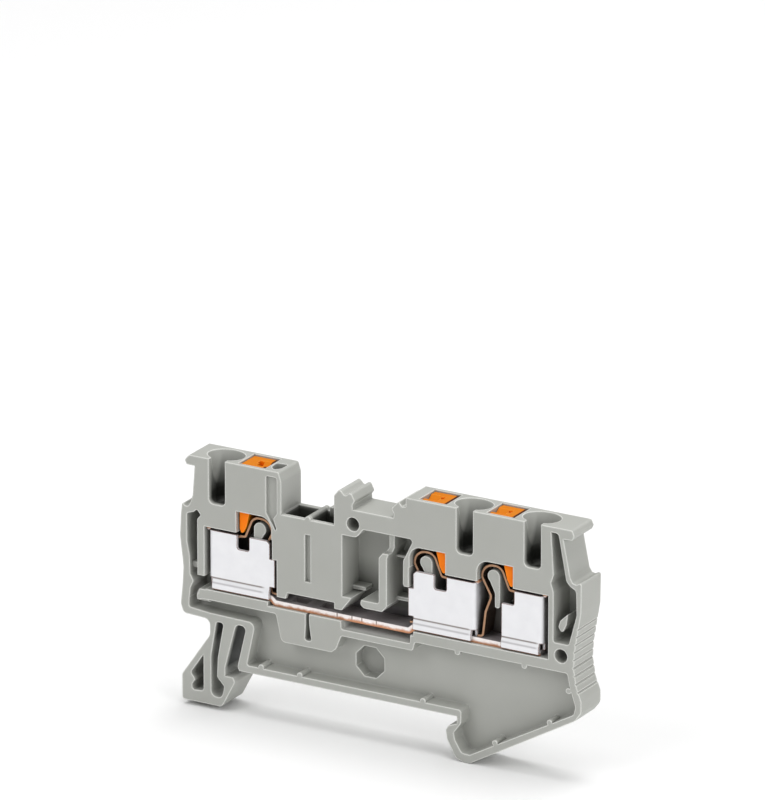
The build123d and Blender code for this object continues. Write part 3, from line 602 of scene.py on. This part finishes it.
def bent_spring(name, entry, side):
    """One spring as a plain mesh, from the corners and the strip tree."""
    line = bpy.data.meshes.new("spring_line")
    spots = [(entry + side * u * MM, STRIP_MIDDLE, z * MM) for u, z, _ in BENDS]
    line.from_pydata(spots, [(i, i + 1) for i in range(len(spots) - 1)], [])
    radii = line.attributes.new("bend", "FLOAT", "POINT")
    for i, (_, _, r) in enumerate(BENDS):
        radii.data[i].value = r * MM
    carrier = bpy.data.objects.new("spring_carrier", line)
    bpy.context.scene.collection.objects.link(carrier)
    modifier = carrier.modifiers.new("strip", "NODES")
    modifier.node_group = STRIP_TREE
    values = {"Width": STRIP_WIDE, "Thickness": STRIP_THICK, "Finish": FINISHES["leaf_spring"]}
    for socket in STRIP_TREE.interface.items_tree:
        if socket.in_out == "INPUT" and socket.name in values:
            modifier[socket.identifier] = values[socket.name]
    ready = carrier.evaluated_get(bpy.context.evaluated_depsgraph_get())
    mesh = bpy.data.meshes.new_from_object(ready)
    bpy.data.objects.remove(carrier)
    mesh.name = "spring_" + name
    mesh.set_sharp_from_angle(angle=FOLD_ANGLE)
    piece = bpy.data.objects.new("bent_spring_" + name, mesh)
    bpy.context.scene.collection.objects.link(piece)
    return piece


for name, (entry, side) in ENTRIES.items():
    spring = bent_spring(name, entry, side)
    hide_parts("leaf_spring_" + name)
    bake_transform(spring)
    spans = [[v.co[k] / MM for v in spring.data.vertices] for k in range(3)]
    print(spring.name, len(spring.data.polygons), "faces, size in mm",
          [round(max(span) - min(span), 2) for span in spans])

# %% [markdown]
# A short rib crosses the hollow at the left end, from the springy outer wall to
# the partition beside it. It could be a scaled cube with a bevel modifier, but
# a block built and rounded in one mesh needs neither. Its ends are sunk a
# little into both walls.

# %% The cross rib in the left hollow
RIB_FROM, RIB_TO = mm(-23.3, 0.8, 13.05), mm(-21.6, 4.5, 13.85)
RIB_ROUND, RIB_STEPS = 0.12 * MM, 3
rib_mesh = bpy.data.meshes.new("cross_rib")
shape = bmesh.new()
bmesh.ops.create_cube(shape, size=1.0)
for vertex in shape.verts:
    vertex.co = Vector([low + (high - low) * (c + 0.5)
                        for c, low, high in zip(vertex.co, RIB_FROM, RIB_TO)])
bmesh.ops.bevel(shape, geom=shape.edges[:], offset=RIB_ROUND, segments=RIB_STEPS, affect="EDGES",
                profile=0.5)
shape.to_mesh(rib_mesh)
shape.free()
rib_mesh.materials.append(FINISHES["housing"])
rib = bpy.data.objects.new("cross_rib_left", rib_mesh)
bpy.context.scene.collection.objects.link(rib)
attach(rib, "block")
print(rib.name, len(rib_mesh.polygons), "faces")

# %% [markdown]
# The floor is one plain white sheet at the height of the lowest point of the
# foot, wide enough to fill the picture from every side.

# %% Floor
FLOOR_HALF = 1.2
lowest = CAD_BOX[0].z
corners = [(-FLOOR_HALF, -FLOOR_HALF, lowest), (FLOOR_HALF, -FLOOR_HALF, lowest),
           (FLOOR_HALF, FLOOR_HALF, lowest), (-FLOOR_HALF, FLOOR_HALF, lowest)]
floor_mesh = bpy.data.meshes.new("floor")
floor_mesh.from_pydata(corners, [], [(0, 1, 2, 3)])
floor = bpy.data.objects.new("floor", floor_mesh)
bpy.context.scene.collection.objects.link(floor)
paint, _, paint_shader, _ = new_material("matt_white_table")
paint_shader.inputs["Base Color"].default_value = linear("F4F4F4")
paint_shader.inputs["Roughness"].default_value = 0.9
floor_mesh.materials.append(paint)
print("floor height in mm:", round(lowest / MM, 2))

# %% [markdown]
# The photograph was taken with a long lens from above and to the right of the
# open side. AZIMUTH and ELEVATION give that direction and PX_PER_MM the size
# on the picture, which is 800 pixels tall. The block stands low in the picture,
# so the camera is stepped sideways and upwards from the line to the aim point.
# A lens shift could do the same, but the step keeps the camera plain.

# %% Camera
AZIMUTH, ELEVATION = math.radians(30.06), math.radians(19.59)
PICTURE_H = 800
FOCAL_PX = 10965
PX_PER_MM = 7.629
SENSOR = 36
NEAREST, FARTHEST = 0.05, 20
STEP_RIGHT, STEP_UP = mm(-0.936, 28.291)
AIM = Vector((6.0, 2.6, 11.0)) * MM
back = Vector((math.sin(AZIMUTH) * math.cos(ELEVATION), -math.cos(AZIMUTH) * math.cos(ELEVATION),
               math.sin(ELEVATION)))
distance = FOCAL_PX / PX_PER_MM * MM
lens_camera = bpy.data.cameras.new("camera")
lens_camera.sensor_width = SENSOR
lens_camera.lens = FOCAL_PX * SENSOR / PICTURE_H
lens_camera.clip_start, lens_camera.clip_end = NEAREST, FARTHEST
camera = bpy.data.objects.new("camera", lens_camera)
bpy.context.scene.collection.objects.link(camera)
right = Vector((math.cos(AZIMUTH), math.sin(AZIMUTH), 0))
up = back.cross(right)
camera.location = AIM + back * distance + right * STEP_RIGHT + up * STEP_UP
camera.rotation_mode = "QUATERNION"
camera.rotation_quaternion = (-back).to_track_quat("-Z", "Y")
bpy.context.scene.camera = camera
print("camera distance in m:", round(distance, 3))

# %% [markdown]
# The light is a soft studio tent: its strongest panel hangs overhead, a weaker
# one stands in front at each side and one behind, and the surround is even. A
# single lamp would throw hard shadows into the open side. The powers balance
# the tops, the fronts and the right-hand flanks as the photograph shows them.

# %% Light
# Each panel: its name, its place and its width in metres, and its power in watts.
LIGHTS = [("key", (-0.3, -0.6, 0.65), 0.6, 2.55), ("fill", (0.8, -0.3, 0.35), 0.6, 2.7),
          ("top", (0.05, 0.1, 1.0), 0.8, 6.6), ("back", (0.1, 0.8, 0.6), 0.8, 1.5)]
SURROUND = 0.32
middle = (CAD_BOX[0] + CAD_BOX[1]) / 2
for name, spot, size, power in LIGHTS:
    light = bpy.data.lights.new(name, "AREA")
    light.shape = "DISK"
    light.size = size
    light.energy = power
    lamp = bpy.data.objects.new(name, light)
    bpy.context.scene.collection.objects.link(lamp)
    lamp.location = Vector(spot)
    lamp.rotation_mode = "QUATERNION"
    lamp.rotation_quaternion = (Vector(spot) - middle).to_track_quat("Z", "Y")
world = bpy.data.worlds.new("tent")
world.use_nodes = True
world.node_tree.nodes["Background"].inputs["Color"].default_value = linear("FFFFFF")
world.node_tree.nodes["Background"].inputs["Strength"].default_value = SURROUND
bpy.context.scene.world = world
bpy.context.scene.view_settings.view_transform = "Standard"
print("panels:", len(LIGHTS))
